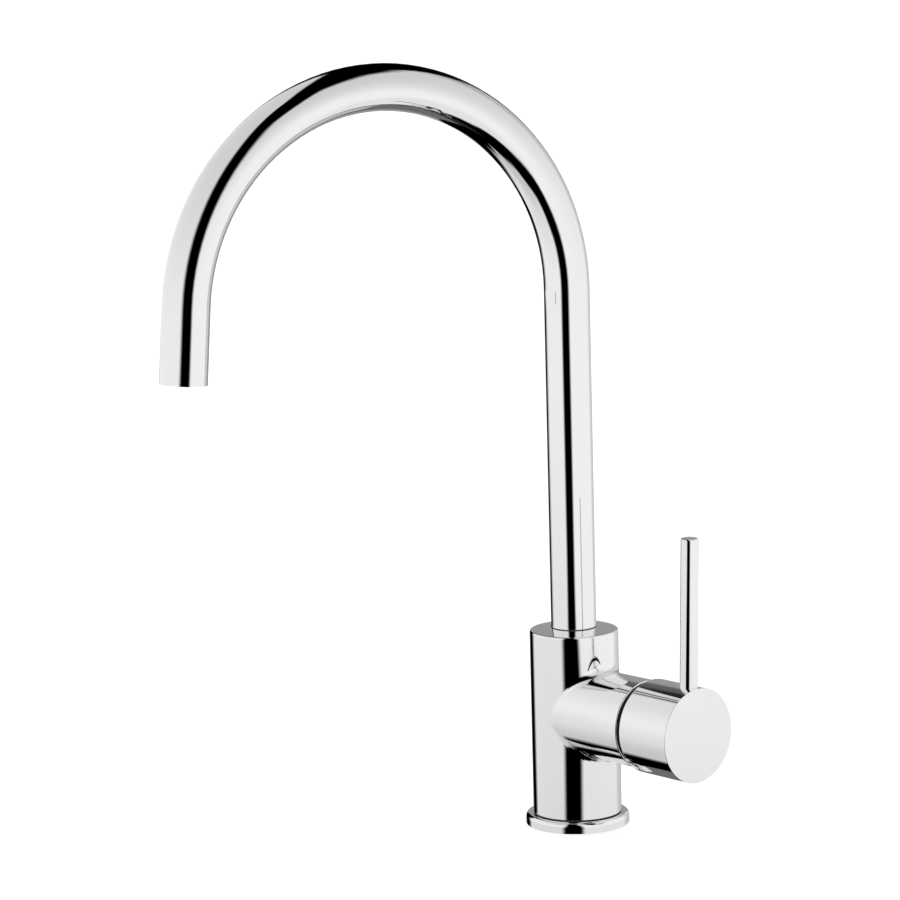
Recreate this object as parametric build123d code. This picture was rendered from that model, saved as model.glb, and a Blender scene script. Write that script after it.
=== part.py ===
from build123d import *
import os
from math import radians, sin, sqrt

# Single-lever kitchen mixer tap, in millimetres. The origin is the centre of the base on the deck.
# +Z is up, the lever's arm points along +X and the user stands on the -Y side.

# Clearances
RUNNING_GAP = 0.05           # radial, between surfaces that turn on each other
MOVING_GAP = 0.3             # between pieces that move past each other
SEAT_GAP = 0.02              # between a fixed piece and its seat
WATER_FILM = 0.02            # between the two ceramic discs

# Cartridge, outwards along the arm
SEAT_X = 18.0                # body axis to the cartridge seat
CARTRIDGE_DIA = 40.0
CARTRIDGE_GAP = 0.3          # radial, cartridge to arm bore
FOOT_FLANGE = 2.5            # ported foot: flange outside the housing
FOOT_SPIGOT = 2.5            # ported foot: part inside the housing
PEG_DIA = 4.0
PEG_LENGTH = 3.0
PEG_PLACE = (13.5, -8.0)     # across, and above the arm axis
SEAL_WALL = 1.2              # rubber sleeve in each port
HOUSING_WALL = 2.8
FIXED_DISC_THICK = 5.0
MOVING_DISC_THICK = 4.5
MOVING_DISC_MARGIN = 0.8     # disc edge to housing at the end of the stroke
MIXING_POCKET_DIA = 18.0
MIXING_POCKET_DEPTH = 2.0
MIXING_POCKET_DROP = 3.1     # pocket centre below the disc centre
CARRIER_THICK = 4.5
CARRIER_WIDTH = 22.0         # across its two guide flats
TURRET_FLANGE = 4.0
TURRET_NECK_DIA = 25.0
TURRET_NOSE = 4.0            # turret end beyond the pivot
HOUSING_LIP = 3.4
HOUSING_NOSE = 2.0           # lip standing through the nut
HOUSING_NOSE_WALL = 3.2
PIVOT_DIA = 4.0
NUT_LENGTH = 8.0
NUT_THREAD = 1.2             # nut radius beyond the cartridge
NUT_SLOT_WIDTH = 5.0
NUT_SLOT_DEPTH = 3.0

# Stem that joins the handle cap to the disc carrier
STEM_WIDTH = 7.0
STEM_NECK_DIA = 3.8
STEM_SHOULDER = 5.0          # square shank starts this far inside the pivot
BALL_DIA = 5.6
BALL_FLOOR = 0.5             # ball to moving disc
BALL_TO_PIVOT = 14.0
TILT_MAX = 20.0              # degrees from closed to fully open

# Ports and waterways
INLET_PORT = (6.5, 6.0)      # across, and above the arm axis
INLET_PORT_DIA = 6.0
OUTLET_PORT_DROP = 8.5
OUTLET_PORT_DIA = 7.6
OUTLET_RISER_DIA = 10.0      # upright drilling to the spout socket
RISER_PLACE = (8.5, 9.0)     # upright inlet drillings: along the arm, and across
RISER_DIA = 6.8
HOSE_THREAD_DIA = 9.0        # core of an M10x1 hose thread
HOSE_THREAD_LENGTH = 12.0
STUD_THREAD_DIA = 6.8        # core of an M8 stud thread
STUD_THREAD_LENGTH = 13.0
STUD_PLACE = -12.0           # along the arm line, behind the body axis

# Arm, body and base ring
ARM_HEIGHT = 64.3
ARM_WALL = 2.98              # at the nut thread
ARM_FILLET = 5.0
ARM_BEYOND_PIVOT = 6.6
ARM_EDGE = 0.9
BODY_OVER_ARM = 0.3          # body radius beyond the arm radius
BODY_HEIGHT = 109.3          # deck to the shoulder
BODY_CROWN = 1.5             # low cone from the shoulder up to the tube
BODY_WALL = 4.0
BODY_EDGE = 1.2
FOOT_GROOVE_HEIGHT = 0.7     # shadow line round the body, just above the base ring
FOOT_GROOVE_DEPTH = 0.5
HOLLOW_HEIGHT = 36.0         # deck to the roof of the open foot
RING_LIP = 4.2
RING_HEIGHT = 6.0
RING_FLOOR = 1.8
RING_EDGE = 2.6
BASE_SEAL_WIDTH = 3.5
BASE_SEAL_THICK = 1.2
BASE_SEAL_INSET = 2.6        # seal to the rim of the base ring

# Handle cap and lever
SEAM = 3.8                   # gap between the arm and the cap
SKIRT_GAP = 0.4              # radial, cap skirt over the arm
SKIRT_WALL = 1.1
SKIRT_DEPTH = 11.6           # thin part of the skirt
CAP_LENGTH = 34.8
CAP_FRONT = 15.0             # solid front of the cap
CAP_SHOULDER = 3.0           # thickening behind the skirt
CAP_EDGE = 0.4
CAP_RIM_EDGE = 0.9
HUB_DIA = 17.0
HUB_BACK = 0.7               # hub to dome
SOCKET_GAP = 0.1             # stem in the hub's square socket
SOCKET_FLOOR = 6.0           # solid between the socket and the front face
STEM_END_GAP = 0.5
LEVER_DIA = 9.6
LEVER_INSET = 7.65           # lever axis behind the front face
LEVER_LEAN = 1.8             # degrees outward
LEVER_HEIGHT = 107.0         # arm axis to the top of the lever
LEVER_ROOT = 11.0            # arm axis to the foot of the lever
LEVER_EDGE = 0.9
GRUB_DIA = 5.0
GRUB_LENGTH = 12.0
GRUB_INSET = 11.0            # screw axis behind the front face
HEX_KEY = 2.5
HEX_DEPTH = 3.0
PLUG_DIA = 6.4
PLUG_DEPTH = 3.0

# Dome behind the cap
DOME_CLEARANCE = 2.0         # dome to the inside of the skirt
DOME_WALL = 1.2
DOME_HOLE_MARGIN = 0.8

# Spout
TUBE_DIA = 25.0
TUBE_WALL = 1.5
SPOUT_RISE = 298.2           # deck to the start of the bend
BEND_RADIUS = 115.0
BEND_ANGLE = 175.4
OUTLET_RUN = 40.2            # straight length after the bend
SPOUT_AZIMUTH = -101.2       # degrees from the arm, seen from above
OUTLET_EDGE = 0.4

# Spout bearing
SOCKET_DEPTH = 32.0          # spout socket, from the body's shoulder
SOCKET_MOUTH = 10.0          # wider part round the tube
MOUTH_GAP = 0.12             # radial, tube to the wider part
ADAPTOR_BORE = 15.0
ADAPTOR_TONGUE = 14.0        # part brazed inside the tube
WASHER_THICK = 1.2
WASHER_BORE = 17.0
GROOVE_DEPTH = 1.6
GROOVE_WIDTH = 2.2
O_RING_SECTION = 1.6
GLIDE_WIDTH = 1.8
WIPER_HEIGHT = 0.4           # rubber ring let into the tube, just above the body
WIPER_DEPTH = 0.5
FIRST_GROOVE = 2.0           # adaptor end to the first groove
GROOVE_PITCH = 3.4
LOCK_GROOVE_WIDTH = 3.6
LOCK_GROOVE_BELOW_TUBE = 1.2
LOCK_SCREW_DIA = 5.0
LOCK_DOG_DIA = 2.8
LOCK_SCREW_INSET = 1.0       # screw head below the body surface

# Outlet and aerator, measured up from the outlet end
OUTLET_RECESS = 0.5
OUTLET_SOCKET_WALL = 1.1
OUTLET_SOCKET_LENGTH = 14.0
OUTLET_SHOULDER = 2.0
OUTLET_SHOULDER_WIDTH = 2.6
AERATOR_RECESS = 0.9
AERATOR_WALL = 1.2
AERATOR_SEAL_THICK = 1.4
CASCADE_THICK = 2.0
CASCADE_RECESS = 0.6
CASCADE_PITCH = 2.2
CASCADE_HOLE = 1.6
REGULATOR_THICK = 3.0
REGULATOR_JETS = 10
REGULATOR_JET_DIA = 1.8
REGULATOR_PITCH_DIA = 11.0
SCREEN_THICK = 0.8
SCREEN_PITCH = 1.7
SCREEN_HOLE = 1.1
AERATOR_LIP = 1.0            # rim that carries the cascade

# Radii
CARTRIDGE_R = CARTRIDGE_DIA / 2
HOUSING_BORE_R = CARTRIDGE_R - HOUSING_WALL
FIXED_DISC_R = HOUSING_BORE_R - SEAT_GAP
NUT_R = CARTRIDGE_R + NUT_THREAD
NUT_BORE_R = TURRET_NECK_DIA / 2 + MOVING_GAP + HOUSING_NOSE_WALL + MOVING_GAP
NOSE_R = NUT_BORE_R - MOVING_GAP
ARM_R = NUT_R + SEAT_GAP + ARM_WALL
BODY_R = ARM_R + BODY_OVER_ARM
RING_R = BODY_R + RING_LIP
HOLLOW_R = BODY_R - BODY_WALL
SKIRT_R = ARM_R + SKIRT_GAP
CAP_R = SKIRT_R + SKIRT_WALL
TUBE_R = TUBE_DIA / 2
TUBE_BORE_R = TUBE_R - TUBE_WALL
SOCKET_R = TUBE_R + RUNNING_GAP
BALL_R = BALL_DIA / 2

# Travel of the moving disc, and the disc's rest place below the arm axis
STROKE = BALL_TO_PIVOT * sin(radians(TILT_MAX))
DISC_DROP = STROKE / 2
MOVING_DISC_R = HOUSING_BORE_R - STROKE / 2 - MOVING_DISC_MARGIN

# Places along the arm
FOOT_END = SEAT_X + FOOT_FLANGE + FOOT_SPIGOT
FIXED_DISC_END = FOOT_END + FIXED_DISC_THICK
MOVING_DISC_START = FIXED_DISC_END + WATER_FILM
MOVING_DISC_END = MOVING_DISC_START + MOVING_DISC_THICK
CARRIER_END = MOVING_DISC_END + CARRIER_THICK
TURRET_START = CARRIER_END + MOVING_GAP
TURRET_FLANGE_END = TURRET_START + TURRET_FLANGE
LIP_START = TURRET_FLANGE_END + RUNNING_GAP
LIP_END = LIP_START + HOUSING_LIP
NUT_START = LIP_END - HOUSING_NOSE
NUT_END = NUT_START + NUT_LENGTH
BALL_X = MOVING_DISC_END + BALL_FLOOR + BALL_R
PIVOT_X = BALL_X + BALL_TO_PIVOT
TURRET_END = PIVOT_X + TURRET_NOSE
ARM_END = PIVOT_X + ARM_BEYOND_PIVOT
CAP_RIM = ARM_END + SEAM
CAP_FACE = CAP_RIM + CAP_LENGTH
CAVITY_END = CAP_FACE - CAP_FRONT
DOME_R = SKIRT_R - DOME_CLEARANCE
HUB_START = PIVOT_X + DOME_R + HUB_BACK
SOCKET_END = CAP_FACE - SOCKET_FLOOR
STEM_END = SOCKET_END - STEM_END_GAP
LEVER_X = CAP_FACE - LEVER_INSET
GRUB_X = CAP_FACE - GRUB_INSET

# Places up the spout
CROWN_TOP = BODY_HEIGHT + BODY_CROWN
WIPER_FOOT = CROWN_TOP + RUNNING_GAP
WIPER_TOP = WIPER_FOOT + WIPER_HEIGHT
SOCKET_FLOOR_Z = BODY_HEIGHT - SOCKET_DEPTH
ADAPTOR_FOOT = SOCKET_FLOOR_Z + WASHER_THICK + RUNNING_GAP
TUBE_FOOT = BODY_HEIGHT - SOCKET_MOUTH
LOCK_GROOVE_Z = TUBE_FOOT - LOCK_GROOVE_BELOW_TUBE - LOCK_GROOVE_WIDTH / 2
GROOVE_R = TUBE_R - GROOVE_DEPTH

# Arm axis: X across the tap, Y up, Z outwards along the arm
ARM_AXIS = Plane(origin=(0, 0, ARM_HEIGHT), x_dir=(0, 1, 0), z_dir=(1, 0, 0))


def column(radius, low, high):
    """An upright cylinder between two heights."""
    return Pos(0, 0, low) * Cylinder(radius, high - low, align=(Align.CENTER, Align.CENTER, Align.MIN))


def sleeve(outer, inner, low, high):
    """An upright ring with a plain bore."""
    return column(outer, low, high) - column(inner, low, high)


def cone(bottom, top, low, high):
    """An upright cone between two heights, cut off at its top radius."""
    return Pos(0, 0, low) * Cone(bottom, top, high - low, align=(Align.CENTER, Align.CENTER, Align.MIN))


def block(width, depth, low, high):
    """An upright square bar between two heights."""
    return Pos(0, 0, low) * Box(width, depth, high - low, align=(Align.CENTER, Align.CENTER, Align.MIN))


def on_arm(shape):
    """Turns an upright shape to lie along the arm."""
    return ARM_AXIS * shape


def port_places():
    """Cartridge ports as (across, up, diameter): two inlets above the axis and the outlet below it."""
    across, up = INLET_PORT
    inlets = [(side * across, up, INLET_PORT_DIA) for side in (-1, 1)]
    return inlets + [(0, -OUTLET_PORT_DROP, OUTLET_PORT_DIA)]


def peg_places():
    """The two locating pegs under the cartridge."""
    across, up = PEG_PLACE
    return [(side * across, up) for side in (-1, 1)]


def make_body():
    """Cast barrel and arm with its hollow foot, spout socket, cartridge bore and waterways."""
    barrel = column(BODY_R, RING_FLOOR, BODY_HEIGHT) + cone(BODY_R, TUBE_R, BODY_HEIGHT, CROWN_TOP)
    casting = barrel + on_arm(column(ARM_R, 0, ARM_END))
    saddle = casting.edges().filter_by(GeomType.BSPLINE)
    casting = fillet(saddle, ARM_FILLET)
    shoulder = casting.edges().filter_by(GeomType.CIRCLE).group_by(Axis.Z)[-2]
    casting = fillet(shoulder, BODY_EDGE)
    casting = fillet(casting.edges().group_by(Axis.X)[-1], ARM_EDGE)
    groove_r = BODY_R - FOOT_GROOVE_DEPTH
    casting -= sleeve(RING_R, groove_r, RING_HEIGHT, RING_HEIGHT + FOOT_GROOVE_HEIGHT)

    casting -= column(HOLLOW_R, RING_FLOOR, HOLLOW_HEIGHT)
    casting -= column(SOCKET_R, SOCKET_FLOOR_Z, CROWN_TOP)
    casting -= column(TUBE_R + MOUTH_GAP, TUBE_FOOT, CROWN_TOP)
    casting -= on_arm(column(CARTRIDGE_R + CARTRIDGE_GAP, SEAT_X, ARM_END))
    casting -= on_arm(column(NUT_R + SEAT_GAP, NUT_START - MOVING_GAP, ARM_END))

    riser_x, riser_y = RISER_PLACE
    inlet_z = ARM_HEIGHT + INLET_PORT[1]
    for side in (-1, 1):
        place = Pos(riser_x, side * riser_y, 0)
        casting -= place * column(RISER_DIA / 2, HOLLOW_HEIGHT, inlet_z)
        casting -= place * column(HOSE_THREAD_DIA / 2, HOLLOW_HEIGHT, HOLLOW_HEIGHT + HOSE_THREAD_LENGTH)
    for across, up, diameter in port_places():
        inner_end = 0 if up < 0 else riser_x
        casting -= on_arm(Pos(across, up, 0) * column(diameter / 2, inner_end, SEAT_X))
    casting -= column(OUTLET_RISER_DIA / 2, ARM_HEIGHT - OUTLET_PORT_DROP, SOCKET_FLOOR_Z)
    for across, up in peg_places():
        hole = column(PEG_DIA / 2 + SEAT_GAP, SEAT_X - PEG_LENGTH - MOVING_GAP, SEAT_X)
        casting -= on_arm(Pos(across, up, 0) * hole)

    stud = column(STUD_THREAD_DIA / 2, HOLLOW_HEIGHT, HOLLOW_HEIGHT + STUD_THREAD_LENGTH)
    casting -= Pos(STUD_PLACE, 0, 0) * stud
    casting -= at_lock_screw(column(LOCK_SCREW_DIA / 2 + SEAT_GAP, 0, BODY_R))
    return casting


def make_base_ring():
    """Escutcheon that the body stands in, grooved underneath for the deck seal."""
    ring = column(RING_R, 0, RING_HEIGHT)
    ring = fillet(ring.edges().group_by(Axis.Z)[-1], RING_EDGE)
    ring -= column(HOLLOW_R, 0, RING_HEIGHT)
    ring -= column(BODY_R + RUNNING_GAP, RING_FLOOR, RING_HEIGHT)
    return ring - make_base_seal()


def make_base_seal():
    """Flat rubber ring, flush with the underside of the base ring."""
    outer = RING_R - BASE_SEAL_INSET
    return sleeve(outer, outer - BASE_SEAL_WIDTH, 0, BASE_SEAL_THICK)


def make_cartridge_base():
    """Ported foot of the cartridge, with two pegs that key it to the seat."""
    foot = column(CARTRIDGE_R, SEAT_X, SEAT_X + FOOT_FLANGE)
    foot += column(HOUSING_BORE_R - SEAT_GAP, SEAT_X, FOOT_END)
    for across, up, diameter in port_places():
        foot -= Pos(across, up, 0) * column(diameter / 2 + SEAL_WALL, SEAT_X, FOOT_END)
    for across, up in peg_places():
        foot += Pos(across, up, 0) * column(PEG_DIA / 2, SEAT_X - PEG_LENGTH, SEAT_X)
    return on_arm(foot)


def make_port_seals():
    """Three rubber sleeves that seal the foot to the seat and to the fixed disc."""
    seals = []
    for across, up, diameter in port_places():
        outer = diameter / 2 + SEAL_WALL - SEAT_GAP
        seal = sleeve(outer, diameter / 2, SEAT_X, FOOT_END)
        seals.append(on_arm(Pos(across, up, 0) * seal))
    return Compound(children=seals)


def make_fixed_disc():
    """Ceramic disc with the three ports."""
    disc = column(FIXED_DISC_R, FOOT_END, FIXED_DISC_END)
    for across, up, diameter in port_places():
        disc -= Pos(across, up, 0) * column(diameter / 2, FOOT_END, FIXED_DISC_END)
    return on_arm(disc)


def make_moving_disc():
    """Ceramic disc whose pocket joins the inlets to the outlet when it slides up."""
    disc = column(MOVING_DISC_R, MOVING_DISC_START, MOVING_DISC_END)
    pocket_end = MOVING_DISC_START + MIXING_POCKET_DEPTH
    disc -= Pos(0, -MIXING_POCKET_DROP, 0) * column(MIXING_POCKET_DIA / 2, MOVING_DISC_START, pocket_end)
    return on_arm(Pos(0, -DISC_DROP, 0) * disc)


def make_disc_carrier():
    """Slide on the moving disc: flats for the turret's rails and a hole for the stem's ball."""
    carrier = Pos(0, -DISC_DROP, 0) * column(MOVING_DISC_R, MOVING_DISC_END, CARRIER_END)
    carrier &= block(CARRIER_WIDTH, CARTRIDGE_DIA, MOVING_DISC_END, CARRIER_END)
    carrier -= column(BALL_R + MOVING_GAP, MOVING_DISC_END, CARRIER_END)
    return on_arm(carrier)


def make_cartridge_housing():
    """Shell round the discs, with a lip that keeps the turret in and a nose through the nut."""
    housing = column(CARTRIDGE_R, SEAT_X + FOOT_FLANGE, NUT_START)
    housing += column(NOSE_R, NUT_START, LIP_END)
    housing -= column(HOUSING_BORE_R, SEAT_X + FOOT_FLANGE, LIP_START)
    housing -= column(TURRET_NECK_DIA / 2 + MOVING_GAP, LIP_START, LIP_END)
    return on_arm(housing)


def make_turret():
    """Turning collar: rails that drive the carrier, a slot for the stem and the pivot bore."""
    flange_r = HOUSING_BORE_R - MOVING_GAP
    rails_start = MOVING_DISC_END + MOVING_GAP
    turret = column(flange_r, rails_start, TURRET_FLANGE_END)
    turret -= block(CARRIER_WIDTH + 2 * MOVING_GAP, CARTRIDGE_DIA, rails_start, TURRET_START)
    turret += column(TURRET_NECK_DIA / 2, TURRET_FLANGE_END, TURRET_END)
    half_slot = STROKE + BALL_R + 2 * MOVING_GAP
    slot = block(STEM_WIDTH + 2 * MOVING_GAP, 2 * half_slot, TURRET_START, TURRET_END)
    turret -= slot
    turret -= at_pivot(column(PIVOT_DIA / 2 + SEAT_GAP, -TURRET_NECK_DIA, TURRET_NECK_DIA))
    return on_arm(turret)


def make_pivot_pin():
    """Cross pin that the stem tilts on."""
    half_length = TURRET_NECK_DIA / 2 - MOVING_GAP
    return on_arm(at_pivot(column(PIVOT_DIA / 2, -half_length, half_length)))


def at_pivot(shape):
    """Lays an upright shape across the arm at the pivot, in the arm's own axes."""
    return Pos(0, 0, PIVOT_X) * Rot(0, 90, 0) * shape


def make_stem():
    """Square shank with a ball-ended neck, bored for the pivot pin."""
    shank_start = PIVOT_X - STEM_SHOULDER
    stem = block(STEM_WIDTH, STEM_WIDTH, shank_start, STEM_END)
    stem += column(STEM_NECK_DIA / 2, BALL_X, shank_start)
    stem += Pos(0, 0, BALL_X) * Sphere(BALL_R)
    stem -= at_pivot(column(PIVOT_DIA / 2 + RUNNING_GAP, -STEM_WIDTH, STEM_WIDTH))
    return on_arm(stem)


def make_cartridge_nut():
    """Threaded ring with four spanner slots that clamps the cartridge."""
    nut = sleeve(NUT_R, NUT_BORE_R, NUT_START, NUT_END)
    slot = block(NUT_SLOT_WIDTH, 3 * NUT_R, NUT_END - NUT_SLOT_DEPTH, NUT_END)
    for turn in (0, 90):
        nut -= Rot(0, 0, turn) * slot
    return on_arm(nut)


def make_dress_dome():
    """Spherical cover centred on the pivot, which shows when the cap tilts."""
    hole_r = DOME_R * sin(radians(TILT_MAX)) + STEM_WIDTH / sqrt(2) + DOME_HOLE_MARGIN
    dome_end = PIVOT_X + DOME_R
    centre = Pos(0, 0, PIVOT_X)
    neck_r = NUT_R - SEAT_GAP
    outside = (centre * Sphere(DOME_R)) & column(neck_r, NUT_END, dome_end)
    inside = (centre * Sphere(DOME_R - DOME_WALL)) & column(neck_r - DOME_WALL, NUT_END, dome_end)
    return on_arm(outside - inside - column(hole_r, NUT_END, dome_end))


def make_handle_cap():
    """Hollow cap whose skirt slides over the arm as it tilts, with a hub for the stem."""
    cap = column(CAP_R, CAP_RIM, CAP_FACE)
    cap = fillet(cap.edges().group_by(Axis.Z)[-1], CAP_EDGE)
    cap = fillet(cap.edges().group_by(Axis.Z)[0], CAP_RIM_EDGE)
    skirt_end = CAP_RIM + SKIRT_DEPTH
    inner_r = SKIRT_R - CAP_SHOULDER
    cavity = column(SKIRT_R, CAP_RIM, skirt_end)
    cavity += Pos(0, 0, skirt_end) * Cone(
        SKIRT_R, inner_r, CAP_SHOULDER, align=(Align.CENTER, Align.CENTER, Align.MIN)
    )
    cavity += column(inner_r, skirt_end + CAP_SHOULDER, CAVITY_END)
    cavity -= column(HUB_DIA / 2, HUB_START, CAVITY_END)
    socket_width = STEM_WIDTH + 2 * SOCKET_GAP
    cap -= cavity
    cap -= block(socket_width, socket_width, HUB_START, SOCKET_END)
    cap = on_arm(cap)
    cap -= along_lever(column(LEVER_DIA / 2 + SEAT_GAP, LEVER_ROOT, LEVER_HEIGHT))
    cap -= under_cap(column(GRUB_DIA / 2 + SEAT_GAP, 0, CAP_R))
    cap -= under_cap(column(PLUG_DIA / 2 + SEAT_GAP, CAP_R - PLUG_DEPTH, CAP_R))
    return cap


def along_lever(shape):
    """Sets an upright shape on the arm axis at the lever, leaning outwards with it."""
    return Pos(LEVER_X, 0, ARM_HEIGHT) * Rot(0, LEVER_LEAN, 0) * shape


def under_cap(shape):
    """Points an upright shape straight down from the arm axis at the cap's grub screw."""
    return Pos(GRUB_X, 0, ARM_HEIGHT) * Rot(180, 0, 0) * shape


def make_pin_lever():
    """Straight round lever, set into the solid front of the cap."""
    lever = column(LEVER_DIA / 2, LEVER_ROOT, LEVER_HEIGHT)
    lever = fillet(lever.edges().group_by(Axis.Z)[-1], LEVER_EDGE)
    return along_lever(lever)


def hex_socket(high):
    """Hexagonal key recess that ends at the given height."""
    key = extrude(RegularPolygon(HEX_KEY / 2, 6, major_radius=False), HEX_DEPTH)
    return Pos(0, 0, high - HEX_DEPTH) * key


def make_cap_grub_screw():
    """Socket screw that clamps the cap on the stem from below."""
    start = STEM_WIDTH / 2
    end = start + GRUB_LENGTH
    return under_cap(column(GRUB_DIA / 2, start, end) - hex_socket(end))


def make_index_plug():
    """Plug over the grub screw hole, rounded to the cap's own surface."""
    plug = under_cap(column(PLUG_DIA / 2, CAP_R - PLUG_DEPTH, CAP_R))
    return plug & on_arm(column(CAP_R, CAP_RIM, CAP_FACE))


def on_spout(shape):
    """Swings a shape from the X-Z plane to the spout's rest direction."""
    return Rot(0, 0, SPOUT_AZIMUTH) * shape


def spout_path():
    """Centre line of the spout: upright, round the bend and down to the outlet."""
    riser = Line((0, TUBE_FOOT), (0, SPOUT_RISE))
    bend = JernArc(start=riser @ 1, tangent=riser % 1, radius=BEND_RADIUS, arc_size=-BEND_ANGLE)
    run = Line(bend @ 1, bend @ 1 + OUTLET_RUN * (bend % 1))
    return Wire((Plane.XZ * (riser + bend + run)).edges())


def outlet_plane():
    """Plane on the outlet end, with Z pointing back up the tube."""
    path = spout_path()
    return Plane(origin=path @ 1, x_dir=(0, 1, 0), z_dir=-(path % 1))


def in_outlet(shape):
    """Moves a shape that stands on the outlet end into the spout."""
    return on_spout(outlet_plane() * shape)


def make_spout_tube():
    """Bent tube, grooved for its wiper ring and square cut at the outlet with its outer edge eased."""
    path = spout_path()
    section = Pos(0, 0, TUBE_FOOT) * (Circle(TUBE_R) - Circle(TUBE_BORE_R))
    tube = sweep(section, path=path) - sleeve(SOCKET_R, TUBE_R - WIPER_DEPTH, WIPER_FOOT, WIPER_TOP)
    outlet = tube.faces().sort_by_distance(path @ 1)[0]
    return on_spout(fillet(outlet.outer_wire().edges(), OUTLET_EDGE))


def groove_heights():
    """Centres of the four bearing grooves: glide ring, two seals, glide ring."""
    first = ADAPTOR_FOOT + FIRST_GROOVE + GROOVE_WIDTH / 2
    return [first + i * GROOVE_PITCH for i in range(4)]


def make_spout_adaptor():
    """Turned end of the spout, grooved for its seals, glide rings and locking screw."""
    adaptor = column(TUBE_R, ADAPTOR_FOOT, TUBE_FOOT)
    adaptor += column(TUBE_BORE_R - SEAT_GAP, ADAPTOR_FOOT, TUBE_FOOT + ADAPTOR_TONGUE)
    adaptor -= column(ADAPTOR_BORE / 2, ADAPTOR_FOOT, TUBE_FOOT + ADAPTOR_TONGUE)
    for height in groove_heights():
        adaptor -= sleeve(TUBE_R, GROOVE_R, height - GROOVE_WIDTH / 2, height + GROOVE_WIDTH / 2)
    half = LOCK_GROOVE_WIDTH / 2
    adaptor -= sleeve(TUBE_R, GROOVE_R, LOCK_GROOVE_Z - half, LOCK_GROOVE_Z + half)
    return adaptor


def make_spout_o_rings():
    """The two seals, in the middle grooves, and the wiper ring that shows above the body."""
    section_r = O_RING_SECTION / 2
    seals = [Pos(0, 0, height) * Torus(TUBE_R - section_r, section_r) for height in groove_heights()[1:3]]
    wiper_r = TUBE_R - WIPER_DEPTH + SEAT_GAP
    wiper = sleeve(TUBE_R, wiper_r, WIPER_FOOT + SEAT_GAP, WIPER_TOP - SEAT_GAP)
    return Compound(children=seals + [wiper])


def make_spout_glide_rings():
    """The two plastic bearing rings, in the outer grooves."""
    heights = groove_heights()
    return Compound(children=[
        sleeve(TUBE_R, GROOVE_R + SEAT_GAP, height - GLIDE_WIDTH / 2, height + GLIDE_WIDTH / 2)
        for height in (heights[0], heights[3])
    ])


def make_spout_thrust_washer():
    """Plastic washer on the floor of the spout socket."""
    top = SOCKET_FLOOR_Z + WASHER_THICK
    return sleeve(TUBE_R - MOVING_GAP, WASHER_BORE / 2, SOCKET_FLOOR_Z, top)


def at_lock_screw(shape):
    """Points an upright shape from the body axis out through the back, at the locking groove."""
    return Pos(0, 0, LOCK_GROOVE_Z) * Rot(-90, 0, 0) * shape


def make_spout_retaining_screw():
    """Dog-point screw whose tip runs in the adaptor's groove."""
    head = BODY_R - LOCK_SCREW_INSET
    thread_start = SOCKET_R + MOVING_GAP
    screw = column(LOCK_SCREW_DIA / 2, thread_start, head) - hex_socket(head)
    screw += column(LOCK_DOG_DIA / 2, GROOVE_R + MOVING_GAP, thread_start)
    return at_lock_screw(screw)


def aerator_radius():
    """Outside radius of the aerator, inside the threaded outlet socket."""
    return TUBE_BORE_R - OUTLET_SOCKET_WALL - 2 * SEAT_GAP


def aerator_top():
    """Top of the aerator housing, under its seal."""
    return OUTLET_SOCKET_LENGTH - OUTLET_SHOULDER - AERATOR_SEAL_THICK


def make_outlet_socket():
    """Threaded ring brazed into the outlet, with a shoulder for the aerator's seal."""
    outer = TUBE_BORE_R - SEAT_GAP
    bore = TUBE_BORE_R - OUTLET_SOCKET_WALL
    ring = column(outer, OUTLET_RECESS, OUTLET_SOCKET_LENGTH)
    ring -= column(bore, OUTLET_RECESS, OUTLET_SOCKET_LENGTH - OUTLET_SHOULDER)
    ring -= column(outer - OUTLET_SHOULDER_WIDTH, OUTLET_RECESS, OUTLET_SOCKET_LENGTH)
    return in_outlet(ring)


def make_aerator_seal():
    """Flat washer between the aerator and the shoulder."""
    outer = aerator_radius()
    seal = sleeve(outer, outer - OUTLET_SHOULDER_WIDTH, aerator_top(), aerator_top() + AERATOR_SEAL_THICK)
    return in_outlet(seal)


def make_aerator_housing():
    """Flush cup that holds the cascade, the regulator and the screen."""
    outer = aerator_radius()
    cup = column(outer, AERATOR_RECESS, aerator_top())
    cup -= column(outer - AERATOR_WALL, AERATOR_RECESS + CASCADE_RECESS, aerator_top())
    cup -= column(outer - AERATOR_WALL - AERATOR_LIP, AERATOR_RECESS, aerator_top())
    return in_outlet(cup)


def insert_radius():
    """Radius of the discs inside the aerator housing."""
    return aerator_radius() - AERATOR_WALL - SEAT_GAP


def drilled_disc(low, thick, pitch, hole):
    """A disc drilled in a hexagonal pattern of rings, from the centre to its rim."""
    disc = column(insert_radius(), low, low + thick)
    rings = int((insert_radius() - AERATOR_LIP - hole) / pitch)
    holes = [column(hole / 2, low, low + thick)]
    for ring in range(1, rings + 1):
        for place in PolarLocations(ring * pitch, 6 * ring):
            holes.append(place * column(hole / 2, low, low + thick))
    return disc - holes


def cascade_start():
    """Foot of the cascade, on the housing's lip."""
    return AERATOR_RECESS + CASCADE_RECESS


def regulator_start():
    """Foot of the flow regulator, on the cascade."""
    return cascade_start() + CASCADE_THICK


def make_aerator_cascade():
    """Drilled plate that the water leaves through."""
    return in_outlet(drilled_disc(cascade_start(), CASCADE_THICK, CASCADE_PITCH, CASCADE_HOLE))


def make_flow_regulator():
    """Disc with a ring of jets."""
    low = regulator_start()
    disc = column(insert_radius(), low, low + REGULATOR_THICK)
    for place in PolarLocations(REGULATOR_PITCH_DIA / 2, REGULATOR_JETS):
        disc -= place * column(REGULATOR_JET_DIA / 2, low, low + REGULATOR_THICK)
    return in_outlet(disc)


def make_aerator_screen():
    """Fine inlet screen on top of the regulator."""
    low = regulator_start() + REGULATOR_THICK
    return in_outlet(drilled_disc(low, SCREEN_THICK, SCREEN_PITCH, SCREEN_HOLE))


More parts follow.
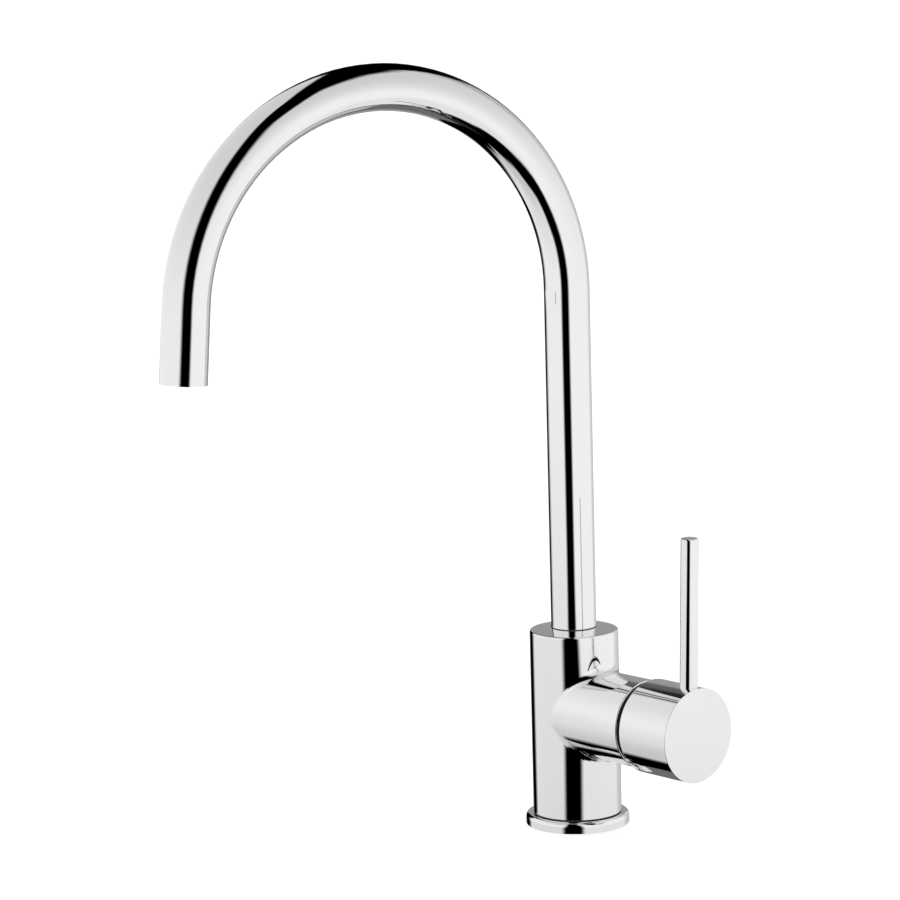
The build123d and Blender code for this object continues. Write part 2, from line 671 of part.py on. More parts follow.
PIECES = {
    "body": make_body,
    "base_ring": make_base_ring,
    "base_seal": make_base_seal,
    "spout_tube": make_spout_tube,
    "spout_adaptor": make_spout_adaptor,
    "spout_o_rings": make_spout_o_rings,
    "spout_glide_rings": make_spout_glide_rings,
    "spout_thrust_washer": make_spout_thrust_washer,
    "spout_retaining_screw": make_spout_retaining_screw,
    "outlet_socket": make_outlet_socket,
    "aerator_seal": make_aerator_seal,
    "aerator_housing": make_aerator_housing,
    "aerator_cascade": make_aerator_cascade,
    "flow_regulator": make_flow_regulator,
    "aerator_screen": make_aerator_screen,
    "cartridge_base": make_cartridge_base,
    "port_seals": make_port_seals,
    "fixed_disc": make_fixed_disc,
    "moving_disc": make_moving_disc,
    "disc_carrier": make_disc_carrier,
    "cartridge_housing": make_cartridge_housing,
    "turret": make_turret,
    "pivot_pin": make_pivot_pin,
    "stem": make_stem,
    "cartridge_nut": make_cartridge_nut,
    "dress_dome": make_dress_dome,
    "handle_cap": make_handle_cap,
    "pin_lever": make_pin_lever,
    "cap_grub_screw": make_cap_grub_screw,
    "index_plug": make_index_plug,
}

os.makedirs("parts", exist_ok=True)
for name, make in PIECES.items():
    export_step(make(), f"parts/{name}.step")
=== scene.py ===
"""Looks and studio for the kitchen mixer tap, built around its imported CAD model."""
from __future__ import annotations

import logging
import math
from dataclasses import dataclass
from enum import Enum
from typing import Any

import bmesh
import bpy
from mathutils import Matrix, Vector

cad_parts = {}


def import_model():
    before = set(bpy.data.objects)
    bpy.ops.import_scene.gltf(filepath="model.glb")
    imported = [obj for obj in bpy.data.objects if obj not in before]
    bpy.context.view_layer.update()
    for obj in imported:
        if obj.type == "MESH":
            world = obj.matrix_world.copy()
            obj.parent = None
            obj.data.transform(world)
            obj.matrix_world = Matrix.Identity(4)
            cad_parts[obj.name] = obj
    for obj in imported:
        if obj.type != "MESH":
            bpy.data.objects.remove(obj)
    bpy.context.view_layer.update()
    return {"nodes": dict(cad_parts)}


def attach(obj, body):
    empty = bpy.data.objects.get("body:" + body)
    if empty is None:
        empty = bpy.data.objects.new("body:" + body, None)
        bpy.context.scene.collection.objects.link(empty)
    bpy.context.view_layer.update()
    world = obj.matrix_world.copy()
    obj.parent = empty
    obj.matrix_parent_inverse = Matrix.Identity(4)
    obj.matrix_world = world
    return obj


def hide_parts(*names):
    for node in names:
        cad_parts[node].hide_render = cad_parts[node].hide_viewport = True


LOG = logging.getLogger("mixer_tap")

Colour = tuple[float, float, float, float]
Point = tuple[float, float, float]
Pair = tuple[float, float]

WHITE: Colour = (1.0, 1.0, 1.0, 1.0)
ARM_AXIS_HEIGHT = 0.0643


class Slot(Enum):
    """Material slots of the tap's record."""

    CHROME = "polished_chrome"
    BRASS = "bare_brass"
    STEEL = "steel"
    RUBBER = "black_rubber"
    BEARING = "bearing_plastic"
    AERATOR = "aerator_plastic"
    CERAMIC = "disc_ceramic"
    PLUG = "plug_plastic"


class Signal:
    """A shader socket that takes part in Python arithmetic."""

    def __init__(self, graph: Graph, socket: bpy.types.NodeSocket) -> None:
        """Wraps one output socket of a node in the graph."""
        self.graph = graph
        self.socket = socket

    def __add__(self, other: Signal | float) -> Signal:
        """Sum of two values."""
        return self.graph.math("ADD", self, other)

    __radd__ = __add__

    def __sub__(self, other: Signal | float) -> Signal:
        """Difference of two values."""
        return self.graph.math("SUBTRACT", self, other)

    def __rsub__(self, other: float) -> Signal:
        """Difference with the number on the left."""
        return self.graph.math("SUBTRACT", other, self)

    def __mul__(self, other: Signal | float) -> Signal:
        """Product of two values."""
        return self.graph.math("MULTIPLY", self, other)

    __rmul__ = __mul__

    def __or__(self, other: Signal) -> Signal:
        """The larger of two values, which joins two masks."""
        return self.graph.math("MAXIMUM", self, other)


class Graph:
    """Node tree of one material or of the world."""

    def __init__(self, tree: bpy.types.NodeTree) -> None:
        """Starts from an empty tree."""
        tree.nodes.clear()
        self.tree = tree

    def node(
        self,
        kind: str,
        settings: dict[str, Any] | None = None,
        values: dict[str | int, Any] | None = None,
    ) -> bpy.types.Node:
        """Adds a node of any type.

        Args:
            kind: Blender's name of the node type.
            settings: Options of the node, set before its sockets.
            values: Numbers, colours or signals for its input sockets, by name or place.

        Returns:
            The new node.
        """
        node = self.tree.nodes.new(kind)
        for name, setting in (settings or {}).items():
            setattr(node, name, setting)
        for name, value in (values or {}).items():
            socket = node.inputs[name]
            if isinstance(value, Signal):
                self.tree.links.new(value.socket, socket)
            else:
                socket.default_value = value
        return node

    def signal(
        self,
        kind: str,
        output: str | int,
        settings: dict[str, Any] | None = None,
        values: dict[str | int, Any] | None = None,
    ) -> Signal:
        """Adds a node and wraps one of its outputs.

        Args:
            kind: Blender's name of the node type.
            output: Output socket, by name or place.
            settings: Options of the node.
            values: Numbers, colours or signals for its input sockets.

        Returns:
            The output as a signal.
        """
        return Signal(self, self.node(kind, settings, values).outputs[output])

    def math(self, operation: str, *values: Signal | float) -> Signal:
        """Adds a Math node for one operation on values."""
        return self.signal("ShaderNodeMath", 0, {"operation": operation}, dict(enumerate(values)))

    def vector(self, operation: str, output: str, *values: Signal | Point) -> Signal:
        """Adds a Vector Math node for one operation on vectors."""
        return self.signal("ShaderNodeVectorMath", output, {"operation": operation}, dict(enumerate(values)))

    def step(self, value: Signal, start: Signal | float, end: Signal | float) -> Signal:
        """Adds a smooth rise from 0 to 1 between two values; a fall when start is above end.

        Args:
            value: What is measured.
            start: Where the result is 0.
            end: Where the result is 1.

        Returns:
            The eased result, held within 0 and 1.
        """
        return self.signal(
            "ShaderNodeMapRange", 0, {"interpolation_type": "SMOOTHSTEP", "clamp": True},
            {"Value": value, "From Min": start, "From Max": end},
        )

    def edge(self, value: Signal, place: Signal | float, blur: Signal | float) -> Signal:
        """Adds a soft edge at a place.

        Args:
            value: What is measured.
            place: The middle of the edge.
            blur: Half the edge's width. The result rises over the edge, or falls if this is negative.

        Returns:
            0 on one side of the edge and 1 on the other.
        """
        return self.step(value, place - blur, place + blur)

    def mix_colour(self, factor: Signal | float, low: Any, high: Any) -> Signal:
        """Adds a Mix of two colours."""
        return self.signal(
            "ShaderNodeMix", 2, {"data_type": "RGBA", "clamp_factor": True}, {0: factor, 6: low, 7: high}
        )

    def noise(self, place: Signal, scale: float, detail: float = 3.0) -> Signal:
        """Adds a noise value from 0 to 1 over a place."""
        return self.signal(
            "ShaderNodeTexNoise", 0, None, {"Vector": place, "Scale": scale, "Detail": detail}
        )

    def place(self) -> Signal:
        """Adds the point on the piece, in metres of the piece's own frame."""
        return self.signal("ShaderNodeTexCoord", "Object")

    def stretched(self, place: Signal, scale: Point) -> Signal:
        """Adds a place scaled by a different amount along each axis."""
        return self.vector("MULTIPLY", "Vector", place, scale)

    def light_path(self, *names: str) -> list[Signal]:
        """Adds a Light Path node and wraps the outputs named."""
        path = self.node("ShaderNodeLightPath")
        return [Signal(self, path.outputs[name]) for name in names]

    def bump(self, height: Signal, strength: float, depth: float) -> Signal:
        """Adds a bumped surface normal.

        Args:
            height: Height pattern from 0 to 1.
            strength: Share of the full bump.
            depth: Depth of the full pattern in metres.

        Returns:
            The normal for a shader.
        """
        return self.signal(
            "ShaderNodeBump", 0, None, {"Strength": strength, "Distance": depth, "Height": height}
        )

    def surface(self, values: dict[str, Any]) -> None:
        """Ends a material in one Principled shader with these socket values."""
        shader = self.signal("ShaderNodeBsdfPrincipled", 0, None, values)
        self.node("ShaderNodeOutputMaterial", None, {"Surface": shader})


def new_material(name: str) -> tuple[bpy.types.Material, Graph]:
    """Makes a material and the graph of its nodes."""
    material = bpy.data.materials.new(name)
    material.use_nodes = True
    return material, Graph(material.node_tree)


@dataclass(frozen=True)
class Finish:
    """A finish for pieces of one record slot. Sizes are in metres, and densities are counts per metre."""

    slot: Slot
    name: str
    colour: Colour
    roughness: float

    def material(self) -> bpy.types.Material:
        """Makes the finish as a Blender material."""
        material, graph = new_material(self.name)
        material.diffuse_color = self.colour
        self.shade(graph)
        return material

    def shade(self, graph: Graph) -> None:
        """Draws the finish in a graph. Each kind of finish has its own."""
        raise NotImplementedError

    def toned(self, share: float) -> Colour:
        """The colour at a share of its brightness."""
        return tuple(share * c for c in self.colour[:3]) + (1.0,)


@dataclass(frozen=True)
class ShadedBore:
    """A round space in a casting, whose walls get painted shade: a near-black, dull tone that stands for the
    shadow in bores, seams and grooves.
    """

    start: Point
    end: Point
    radius: float
    soft: float = 0.0001

    def mask(self, graph: Graph, place: Signal) -> Signal:
        """Draws 1 inside the bore, where shade is painted, and 0 outside it.

        Args:
            graph: The material's graph.
            place: The point on the piece.

        Returns:
            The mask.
        """
        axis = Vector(self.end) - Vector(self.start)
        length = axis.length
        axis.normalize()
        offset = graph.vector("SUBTRACT", "Vector", place, self.start)
        along = graph.vector("DOT_PRODUCT", "Value", offset, tuple(axis))
        across = graph.vector("LENGTH", "Value", graph.vector("CROSS_PRODUCT", "Vector", offset, tuple(axis)))
        inside = graph.edge(across, self.radius, -self.soft)
        inside = inside * graph.edge(along, 0.0, self.soft)
        return inside * graph.edge(along, length, -self.soft)


@dataclass(frozen=True)
class Chrome(Finish):
    """Polished chrome plate with faint wipe marks, with painted shade in the bores: a near-black dull colour
    for the shadow in the casting's openings, seams and grooves.
    """

    shaded_bores: tuple[ShadedBore, ...] = ()
    painted_shade: Colour = (0.04, 0.037, 0.032, 1.0)
    painted_shade_deep: Colour = (0.02, 0.0185, 0.016, 1.0)
    painted_shade_roughness: float = 0.55
    shade_mottle_density: float = 1500.0
    wipe_size: float = 0.02
    wipe_stretch: Point = (1.0, 1.0, 0.35)
    wipe_range: Pair = (0.5, 0.85)
    wipe_haze: float = 0.02
    wipe_tone: float = 0.98

    def shade(self, graph: Graph) -> None:
        """Draws the plate with slightly uneven gloss, and painted shade inside the bores."""
        place = graph.place()
        wipes = graph.noise(graph.stretched(place, self.wipe_stretch), 1.0 / self.wipe_size, detail=4.0)
        haze = graph.step(wipes, *self.wipe_range)
        tone: Any = graph.mix_colour(haze, self.colour, self.toned(self.wipe_tone))
        roughness = self.roughness + self.wipe_haze * haze
        metallic: Any = 1.0
        # Painted shade: inside the bores the colour turns near-black, dull and non-metal, standing for the
        # shadow there.
        if self.shaded_bores:
            painted_shade = self.shaded_bores[0].mask(graph, place)
            for bore in self.shaded_bores[1:]:
                painted_shade = painted_shade | bore.mask(graph, place)
            shade_mottle = graph.noise(place, self.shade_mottle_density, detail=2.0)
            tone = graph.mix_colour(painted_shade, tone, graph.mix_colour(shade_mottle, self.painted_shade, self.painted_shade_deep))
            roughness = roughness + painted_shade * (self.painted_shade_roughness - roughness)
            metallic = 1.0 - painted_shade
        graph.surface({"Base Color": tone, "Metallic": metallic, "Roughness": roughness})


@dataclass(frozen=True)
class TurnedMetal(Finish):
    """Bare turned metal, with fine tool marks and a slightly tarnished tone."""

    dull: Colour = (0.4, 0.3, 0.14, 1.0)
    blotch_density: float = 160.0
    blotch_range: Pair = (0.35, 0.75)
    mark_pitch: float = 0.0004
    mark_depth: float = 0.00003
    mark_relief: float = 0.15
    mark_haze: float = 0.12

    def shade(self, graph: Graph) -> None:
        """Draws fine tool marks over a blotched tone."""
        place = graph.place()
        blotch = graph.step(graph.noise(place, self.blotch_density), *self.blotch_range)
        marks = graph.noise(place, 1.0 / self.mark_pitch, detail=1.0)
        graph.surface({
            "Base Color": graph.mix_colour(blotch, self.colour, self.dull),
            "Metallic": 1.0,
            "Roughness": self.roughness + self.mark_haze * marks,
            "Normal": graph.bump(marks, self.mark_relief, self.mark_depth),
        })


@dataclass(frozen=True)
class Moulded(Finish):
    """Moulded plastic, rubber or ceramic with a fine surface grain."""

    grain_size: float = 0.0006
    grain_depth: float = 0.00002
    grain_relief: float = 0.2
    grain_haze: float = 0.15
    drift_density: float = 120.0
    drift_tone: float = 0.85

    def shade(self, graph: Graph) -> None:
        """Draws a fine grain and a slow drift of tone."""
        place = graph.place()
        grain = graph.noise(place, 1.0 / self.grain_size, detail=2.0)
        drift = graph.noise(place, self.drift_density)
        graph.surface({
            "Base Color": graph.mix_colour(drift, self.colour, self.toned(self.drift_tone)),
            "Roughness": self.roughness + self.grain_haze * (grain - 0.5),
            "Normal": graph.bump(grain, self.grain_relief, self.grain_depth),
        })


CHROME_COLOUR: Colour = (0.86, 0.86, 0.86, 1.0)
CHROME_ROUGHNESS = 0.025
BRASS = TurnedMetal(Slot.BRASS, "bare_brass_turned", (0.72, 0.56, 0.27, 1.0), 0.3)
STEEL = TurnedMetal(Slot.STEEL, "steel_satin", (0.6, 0.6, 0.61, 1.0), 0.28, dull=(0.45, 0.45, 0.46, 1.0))
RUBBER = Moulded(Slot.RUBBER, "black_rubber_matte", (0.03, 0.03, 0.03, 1.0), 0.7)
BEARING = Moulded(Slot.BEARING, "bearing_plastic_satin", (0.86, 0.85, 0.82, 1.0), 0.45)
AERATOR = Moulded(Slot.AERATOR, "aerator_plastic_satin", (0.55, 0.56, 0.57, 1.0), 0.4)
CERAMIC = Moulded(Slot.CERAMIC, "disc_ceramic_polished", (0.9, 0.9, 0.88, 1.0), 0.15, grain_size=0.0002)
PLUG = Moulded(Slot.PLUG, "plug_plastic_gloss", (0.45, 0.46, 0.47, 1.0), 0.25)


def chrome(name: str, *shaded_bores: ShadedBore) -> Chrome:
    """The tap's chrome plate under a material name of its own, with painted shade in the bores."""
    return Chrome(Slot.CHROME, name, CHROME_COLOUR, CHROME_ROUGHNESS, shaded_bores)


def polygon(radius: float, sides: int, centre: Pair = (0.0, 0.0), start: float = 0.0) -> list[Pair]:
    """Works out the corners of a regular polygon.

    Args:
        radius: Centre to corner.
        sides: How many sides it has.
        centre: Where it lies.
        start: Angle of the first corner, in radians.

    Returns:
        The corners, anticlockwise.
    """
    turns = [start + 2.0 * math.pi * k / sides for k in range(sides)]
    return [(centre[0] + radius * math.cos(t), centre[1] + radius * math.sin(t)) for t in turns]


@dataclass
class SubAssembly:
    """Pieces of the tap that belong together."""

    nodes: dict[str, bpy.types.Object]

    def build(self) -> None:
        """Makes the pieces that the CAD model doesn't have. Some sub-assemblies have none."""

    def dress(self) -> None:
        """Puts the finishes on the pieces. Each sub-assembly has its own."""
        raise NotImplementedError

    def wear(self, finish: Finish, *names: str) -> None:
        """Gives CAD nodes one finish.

        Args:
            finish: What the nodes wear.
            names: The nodes.
        """
        material = finish.material()
        for name in names:
            mesh = self.nodes[name].data
            mesh.materials.clear()
            mesh.materials.append(material)
            LOG.info("%s in %s", name, finish.name)


@dataclass
class TapBody(SubAssembly):
    """Barrel with its arm, the base ring and the deck seal.

    Sizes are in metres: the outside of the casting, and how far in from it the painted shade starts at its
    openings.
    """

    barrel_radius: float = 0.0245
    barrel_height: float = 0.1093
    arm_radius: float = 0.0242
    arm_end: float = 0.05642
    shade_margin: float = 0.0003
    edge_shade_margin: float = 0.0009

    def dress(self) -> None:
        """Plates the outside and paints shade on the inner walls: the barrel's bores and grooves, and the
        arm's end.
        """
        # Painted shade: the barrel's inside and the arm's end face get the near-black tone that stands for
        # the dark seam and groove lines.
        shell = ShadedBore(
            (0.0, 0.0, 0.0), (0.0, 0.0, self.barrel_height - self.edge_shade_margin),
            self.barrel_radius - self.shade_margin,
        )
        arm = ShadedBore(
            (0.0, 0.0, ARM_AXIS_HEIGHT), (self.arm_end + self.edge_shade_margin, 0.0, ARM_AXIS_HEIGHT),
            self.arm_radius - self.edge_shade_margin,
        )
        self.wear(chrome("body_chrome", shell, arm), "body")
        self.wear(chrome("ring_chrome"), "base_ring")
        self.wear(RUBBER, "base_seal")


@dataclass
class Spout(SubAssembly):
    """Swivelling tube with its bearing in the top of the body."""

    def dress(self) -> None:
        """Plates the tube and dresses the bearing."""
        self.wear(chrome("spout_chrome"), "spout_tube")
        self.wear(BRASS, "spout_adaptor")
        self.wear(RUBBER, "spout_o_rings")
        self.wear(BEARING, "spout_glide_rings", "spout_thrust_washer")
        self.wear(STEEL, "spout_retaining_screw")


@dataclass
class Outlet(SubAssembly):
    """Outlet end of the spout: its socket and the aerator, with a moulded honeycomb at the mouth.

    Sizes are in metres: the spout's centre line, which leads to the mouth, then the honeycomb.
    """

    rise: float = 0.2982
    bend_radius: float = 0.115
    bend_angle: float = math.radians(175.4)
    run: float = 0.0402
    azimuth: float = math.radians(-101.2)
    mouth: float = 0.0015
    thick: float = 0.002
    radius: float = 0.0086
    rim_inner: float = 0.0074
    cell_pitch: float = 0.00125
    cell_wall: float = 0.00022
    cell_recess: float = 0.0001
    cell_weld: float = 4.4e-6
    cell_start: float = math.radians(30.0)
    rim_sides: int = 72

    def place(self) -> Matrix:
        """Works out the honeycomb's place: its underside, with Z pointing back up the tube."""
        sine = math.sin(self.bend_angle)
        cosine = math.cos(self.bend_angle)
        tangent = Vector((sine, 0.0, cosine))
        sideways = Vector((0.0, 1.0, 0.0))
        bend_end = Vector((self.bend_radius * (1.0 - cosine), 0.0, self.rise + self.bend_radius * sine))
        end = bend_end + self.run * tangent - self.mouth * tangent
        turn = Matrix((sideways, sideways.cross(tangent), -tangent))
        swing = Matrix.Rotation(self.azimuth, 4, "Z")
        return swing @ Matrix.Translation(end) @ turn.transposed().to_4x4()

    def build(self) -> None:
        """Makes the honeycomb, in place of the plain drilled disc."""
        mesh = bmesh.new()
        self.add_cells(mesh)
        self.add_rim(mesh)
        bmesh.ops.recalc_face_normals(mesh, faces=mesh.faces)
        data = bpy.data.meshes.new("aerator_honeycomb")
        mesh.to_mesh(data)
        mesh.free()
        data.transform(self.place())
        piece = bpy.data.objects.new("aerator_honeycomb", data)
        bpy.context.scene.collection.objects.link(piece)
        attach(piece, "spout")
        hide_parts("aerator_cascade")
        data.materials.append(AERATOR.material())
        LOG.info("aerator_honeycomb built")

    def add_cells(self, mesh: bmesh.types.BMesh) -> None:
        """Adds the six-sided cells as one plate, a little thinner than the rim.

        Args:
            mesh: Where they go.
        """
        corner = self.cell_pitch / math.sqrt(3.0)
        opening = corner - self.cell_wall / math.sqrt(3.0)
        reach = int(self.radius / self.cell_pitch) + 1
        for row in range(-reach, reach + 1):
            for column in range(-reach, reach + 1):
                x = self.cell_pitch * (column + 0.5 * row)
                y = self.cell_pitch * row * math.sqrt(0.75)
                if math.hypot(x, y) + corner > self.radius:
                    continue
                outer, inner = (polygon(size, 6, (x, y), self.cell_start) for size in (corner, opening))
                self.add_ring(mesh, outer, inner, self.cell_recess)
        bmesh.ops.remove_doubles(mesh, verts=mesh.verts, dist=self.cell_weld)
        self.close_outside(mesh)

    def add_rim(self, mesh: bmesh.types.BMesh) -> None:
        """Adds the plain rim that the cells run into.

        Args:
            mesh: Where it goes.
        """
        outer, inner = (polygon(size, self.rim_sides) for size in (self.radius, self.rim_inner))
        self.add_ring(mesh, outer, inner, 0.0)
        self.close_outside(mesh)

    def add_ring(
        self,
        mesh: bmesh.types.BMesh,
        outer: list[Pair],
        inner: list[Pair],
        recess: float,
    ) -> None:
        """Adds the two ends and the inner wall of a ring, which is left open on the outside.

        Args:
            mesh: Where it goes.
            outer: Points of the outer loop, across the outlet.
            inner: Points of the inner loop.
            recess: How far both ends stand back from the plate's full thickness.
        """
        (outer_low, outer_high), (inner_low, inner_high) = (
            [[mesh.verts.new((x, y, z)) for x, y in loop] for z in (recess, self.thick - recess)]
            for loop in (outer, inner)
        )
        for a in range(len(outer)):
            b = (a + 1) % len(outer)
            mesh.faces.new((outer_low[b], outer_low[a], inner_low[a], inner_low[b]))
            mesh.faces.new((outer_high[a], outer_high[b], inner_high[b], inner_high[a]))
            mesh.faces.new((inner_low[b], inner_low[a], inner_high[a], inner_high[b]))

    def close_outside(self, mesh: bmesh.types.BMesh) -> None:
        """Joins the two open outlines of a plate with a wall."""
        bmesh.ops.bridge_loops(mesh, edges=[edge for edge in mesh.edges if edge.is_boundary])

    def dress(self) -> None:
        """Dresses the socket and the aerator."""
        self.wear(BRASS, "outlet_socket")
        self.wear(RUBBER, "aerator_seal")
        self.wear(AERATOR, "aerator_housing", "aerator_cascade", "flow_regulator")
        self.wear(STEEL, "aerator_screen")


@dataclass
class Cartridge(SubAssembly):
    """Ceramic cartridge with the nut and dome that close the arm."""

    def dress(self) -> None:
        """Dresses the cartridge's pieces."""
        self.wear(BEARING, "cartridge_base", "cartridge_housing", "turret", "disc_carrier")
        self.wear(RUBBER, "port_seals")
        self.wear(CERAMIC, "fixed_disc", "moving_disc")
        self.wear(BRASS, "cartridge_nut")
        self.wear(STEEL, "pivot_pin")
        self.wear(chrome("dome_chrome"), "dress_dome")


@dataclass
class Handle(SubAssembly):
    """Handle cap on its stem, with the pin lever, its screw and the plug under it.

    Sizes are in metres: the cap's cavity along the arm, and how far past it the painted shade reaches at its
    edge.
    """

    rim: float = 0.06022
    cavity_end: float = 0.08002
    skirt_radius: float = 0.0246
    shade_margin: float = 0.0003

    def dress(self) -> None:
        """Plates the cap outside and paints shade inside it."""
        # Painted shade: the cap's cavity gets the near-black tone that stands for the dark seam between cap
        # and arm.
        inside = ShadedBore(
            (self.rim - self.shade_margin, 0.0, ARM_AXIS_HEIGHT),
            (self.cavity_end + self.shade_margin, 0.0, ARM_AXIS_HEIGHT),
            self.skirt_radius + self.shade_margin,
        )
        self.wear(chrome("cap_chrome", inside), "handle_cap")
        self.wear(chrome("lever_chrome"), "pin_lever")
        self.wear(STEEL, "stem", "cap_grub_screw")
        self.wear(PLUG, "index_plug")


@dataclass(frozen=True)
class Drift:
    """A value that eases from one level to others over an angle."""

    level: float
    changes: tuple[tuple[float, float, float], ...] = ()

    def draw(self, graph: Graph, angle: Signal) -> Signal | float:
        """Draws the value.

        Args:
            graph: The graph it is drawn in.
            angle: The angle that it follows, in degrees.

        Returns:
            The level plus each change, which comes in between its two angles.
        """
        value: Signal | float = self.level
        for start, end, amount in self.changes:
            value = value + amount * graph.step(angle, start, end)
        return value


@dataclass
class Tent:
    """Round light tent that shows in the chrome: two white walls, a dark gap at the camera and a dim back.

    Angles are in degrees from the tent's centre: azimuth from the camera to its right, and elevation.
    """

    centre: Point = (-0.0106, -0.1632, 0.1294)
    radius: float = 0.5
    subdivisions: int = 6
    left_inner: Drift = Drift(-22.5, ((-10.0, -24.0, -4.5), (66.0, 88.0, -12.0), (-36.0, -66.0, -26.0)))
    left_inner_blur: float = 8.0
    left_far: Drift = Drift(-151.0, ((11.0, 16.0, -11.0), (58.0, 68.0, -14.0), (-40.0, -52.0, 12.0)))
    left_far_blur: Drift = Drift(8.0, ((11.0, 16.0, -3.0),))
    left_level: Drift = Drift(0.975, ((6.0, 84.0, -0.28), (8.0, -28.0, -0.13), (-24.0, -54.0, -0.20)))
    left_foot: Pair = (-73.0, -61.0)
    ceiling_edge: Pair = (-0.017, -0.057)
    ceiling_least_rise: float = 0.05
    right_inner: Drift = Drift(25.0, ((-10.0, -22.0, 5.0), (-32.0, -66.0, 28.0)))
    right_inner_blur: float = 7.0
    right_far: Drift = Drift(149.0, ((-24.0, -40.0, -18.0),))
    right_far_blur: float = 4.0
    right_top: Drift = Drift(73.5, ((56.0, 26.0, -9.0), (90.0, 120.0, -3.5), (122.0, 148.0, -19.0)))
    right_top_blur: float = 3.0
    right_foot: Pair = (-67.0, -57.0)
    right_level: Drift = Drift(1.0, ((8.0, 68.0, -0.30), (-8.0, -26.0, -0.12)))
    right_turn: Drift = Drift(1.0, ((118.0, 134.0, -0.33),))
    back_level: Drift = Drift(
        0.02,
        (
            (-64.0, -50.0, 0.14), (-17.0, -9.0, 0.18), (17.0, 25.0, -0.22), (30.0, 38.0, -0.10),
            (46.0, 58.0, -0.02),
        ),
    )

    def build(self, ahead: Vector) -> bpy.types.Object:
        """Makes the tent as a closed sphere that only reflections see.

        Args:
            ahead: The camera's level direction of view.

        Returns:
            The tent.
        """
        shell = bmesh.new()
        bmesh.ops.create_icosphere(shell, subdivisions=self.subdivisions, radius=self.radius)
        mesh = bpy.data.meshes.new("tent")
        shell.to_mesh(mesh)
        shell.free()
        material, graph = new_material("tent_cloth")
        material.cycles.emission_sampling = "NONE"
        light = graph.signal(
            "ShaderNodeEmission", 0, None, {"Color": self.brightness(graph, ahead), "Strength": 1.0}
        )
        graph.node("ShaderNodeOutputMaterial", None, {"Surface": light})
        mesh.materials.append(material)
        tent = bpy.data.objects.new("tent", mesh)
        tent.location = self.centre
        for ray in ("camera", "diffuse", "transmission", "volume_scatter", "shadow"):
            setattr(tent, "visible_" + ray, False)
        bpy.context.scene.collection.objects.link(tent)
        return tent

    def brightness(self, graph: Graph, ahead: Vector) -> Signal:
        """Draws the tent's brightness by direction from its centre.

        Args:
            graph: The tent's graph.
            ahead: The camera's level direction of view.

        Returns:
            Brightness from 0 to 1.
        """
        direction = graph.vector("NORMALIZE", "Vector", graph.place())
        across = graph.vector("DOT_PRODUCT", "Value", direction, (ahead.y, -ahead.x, 0.0))
        towards = graph.vector("DOT_PRODUCT", "Value", direction, (-ahead.x, -ahead.y, 0.0))
        upward = graph.vector("DOT_PRODUCT", "Value", direction, (0.0, 0.0, 1.0))
        azimuth = graph.math("ARCTAN2", across, towards) * math.degrees(1.0)
        height = graph.math("ARCSINE", upward) * math.degrees(1.0)
        far = self.right_far.draw(graph, height)
        left = self.left_wall(graph, azimuth, height) * self.ceiling(graph, across, upward)
        return left | self.right_wall(graph, azimuth, height, far) | self.back(graph, azimuth, height, far)

    def ceiling(self, graph: Graph, across: Signal, upward: Signal) -> Signal:
        """Draws where the left wall's ceiling ends, just short of overhead."""
        above = graph.math("MAXIMUM", upward, self.ceiling_least_rise)
        start, end = self.ceiling_edge
        return graph.step(across, start * above, end * above)

    def left_wall(self, graph: Graph, azimuth: Signal, height: Signal) -> Signal:
        """Draws the white wall to the camera's left."""
        inner = self.left_inner.draw(graph, height)
        far = self.left_far.draw(graph, height)
        blur = self.left_far_blur.draw(graph, height)
        wall = self.left_level.draw(graph, height) * graph.edge(azimuth, far, blur)
        wall = wall * graph.edge(azimuth, inner, -self.left_inner_blur)
        return wall * graph.step(height, *self.left_foot)

    def right_wall(self, graph: Graph, azimuth: Signal, height: Signal, far: Signal) -> Signal:
        """Draws the white wall to the camera's right, with its dark top."""
        inner = self.right_inner.draw(graph, height)
        top = self.right_top.draw(graph, azimuth)
        wall = self.right_level.draw(graph, height) * self.right_turn.draw(graph, azimuth)
        wall = wall * graph.edge(azimuth, inner, self.right_inner_blur)
        wall = wall * graph.edge(azimuth, far, -self.right_far_blur)
        return wall * graph.step(height, *self.right_foot) * graph.edge(height, top, -self.right_top_blur)

    def back(self, graph: Graph, azimuth: Signal, height: Signal, far: Signal) -> Signal:
        """Draws the dim back of the tent."""
        return self.back_level.draw(graph, height) * graph.edge(azimuth, far, self.right_far_blur)


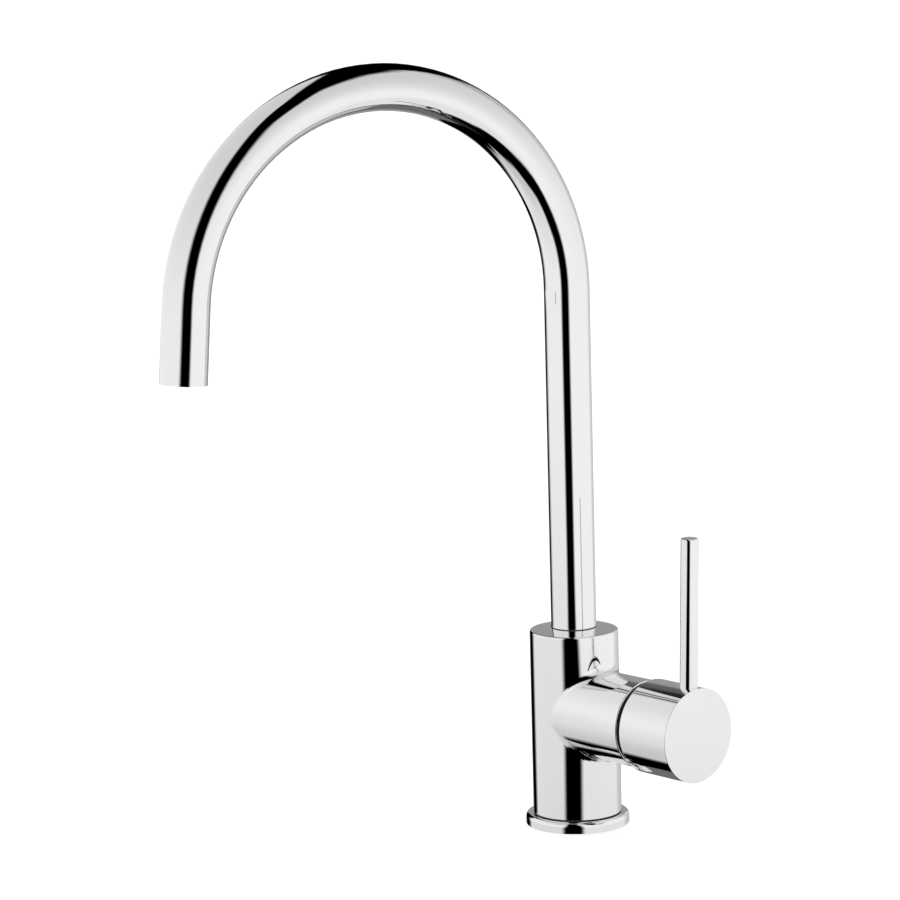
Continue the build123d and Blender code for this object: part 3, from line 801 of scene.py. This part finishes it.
@dataclass
class Studio:
    """Camera, white surroundings, pale floor and the tent round the tap.

    Places and the floor are in metres, the lens and its sensor in millimetres.
    """

    camera_place: Point = (1.33272, -1.26308, 0.50336)
    camera_forward: Point = (-0.74067, 0.65321, -0.15724)
    camera_roll: float = math.radians(-1.531)
    focal_length: float = 135.546
    sensor: float = 36.0
    camera_reach: float = 240.0
    floor_radius: float = 60.0
    floor_sides: int = 96
    floor_drop: float = 0.0002
    floor_glow: float = 0.66
    floor_paint: float = 0.5

    def build(self) -> None:
        """Makes the camera, the surroundings, the floor and the tent."""
        scene = bpy.context.scene
        scene.view_settings.view_transform = "Standard"
        scene.camera = self.make_camera()
        scene.world = self.make_world()
        self.make_floor()
        Tent().build(Vector(self.camera_forward[:2]).normalized())
        LOG.info("studio built")

    def make_camera(self) -> bpy.types.Object:
        """Makes the camera at the photograph's viewing angle."""
        data = bpy.data.cameras.new("camera")
        data.sensor_width = self.sensor
        data.lens = self.focal_length
        data.clip_end = self.camera_reach
        camera = bpy.data.objects.new("camera", data)
        bpy.context.scene.collection.objects.link(camera)
        forward = Vector(self.camera_forward).normalized()
        level_right = forward.cross(Vector((0.0, 0.0, 1.0))).normalized()
        level_up = level_right.cross(forward)
        turn_cos = math.cos(self.camera_roll)
        turn_sin = math.sin(self.camera_roll)
        right = turn_cos * level_right + turn_sin * level_up
        up = turn_cos * level_up - turn_sin * level_right
        turn = Matrix((right, up, -forward)).transposed()
        camera.matrix_world = Matrix.Translation(self.camera_place) @ turn.to_4x4()
        return camera

    def make_world(self) -> bpy.types.World:
        """Makes the plain white light from all round."""
        world = bpy.data.worlds.new("white_surroundings")
        world.use_nodes = True
        graph = Graph(world.node_tree)
        background = graph.signal("ShaderNodeBackground", 0, None, {"Color": WHITE, "Strength": 1.0})
        graph.node("ShaderNodeOutputWorld", None, {"Surface": background})
        return world

    def make_floor(self) -> bpy.types.Object:
        """Makes the wide pale floor that the tap stands on."""
        rim = [(x, y, 0.0) for x, y in polygon(self.floor_radius, self.floor_sides)]
        mesh = bpy.data.meshes.new("floor")
        mesh.from_pydata(rim, [], [tuple(range(self.floor_sides))])
        mesh.materials.append(self.make_floor_material())
        floor = bpy.data.objects.new("floor", mesh)
        floor.location.z = -self.floor_drop
        bpy.context.scene.collection.objects.link(floor)
        return floor

    def make_floor_material(self) -> bpy.types.Material:
        """Makes the floor's white paint, which keeps the shadow and lets the tent show in the metal."""
        material, graph = new_material("white_floor")
        seen, through, glossy = graph.light_path("Is Camera Ray", "Is Transmission Ray", "Is Glossy Ray")
        paint = graph.signal(
            "ShaderNodeBsdfDiffuse", 0, None, {"Color": (self.floor_paint,) * 3 + (1.0,)}
        )
        glow = graph.signal("ShaderNodeEmission", 0, None, {"Color": WHITE, "Strength": self.floor_glow})
        lit = graph.signal("ShaderNodeAddShader", 0, None, {0: paint, 1: glow})
        shown = graph.signal("ShaderNodeMixShader", 0, None, {0: seen | through, 1: paint, 2: lit})
        clear = graph.signal("ShaderNodeBsdfTransparent", 0)
        surface = graph.signal("ShaderNodeMixShader", 0, None, {0: glossy, 1: shown, 2: clear})
        graph.node("ShaderNodeOutputMaterial", None, {"Surface": surface})
        return material


def main() -> None:
    """Builds the tap's looks and its studio."""
    logging.basicConfig(level=logging.INFO, format="%(message)s")
    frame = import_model()
    for kind in (TapBody, Spout, Outlet, Cartridge, Handle):
        assembly = kind(frame["nodes"])
        assembly.build()
        assembly.dress()
    Studio().build()


if __name__ == "__main__":
    main()
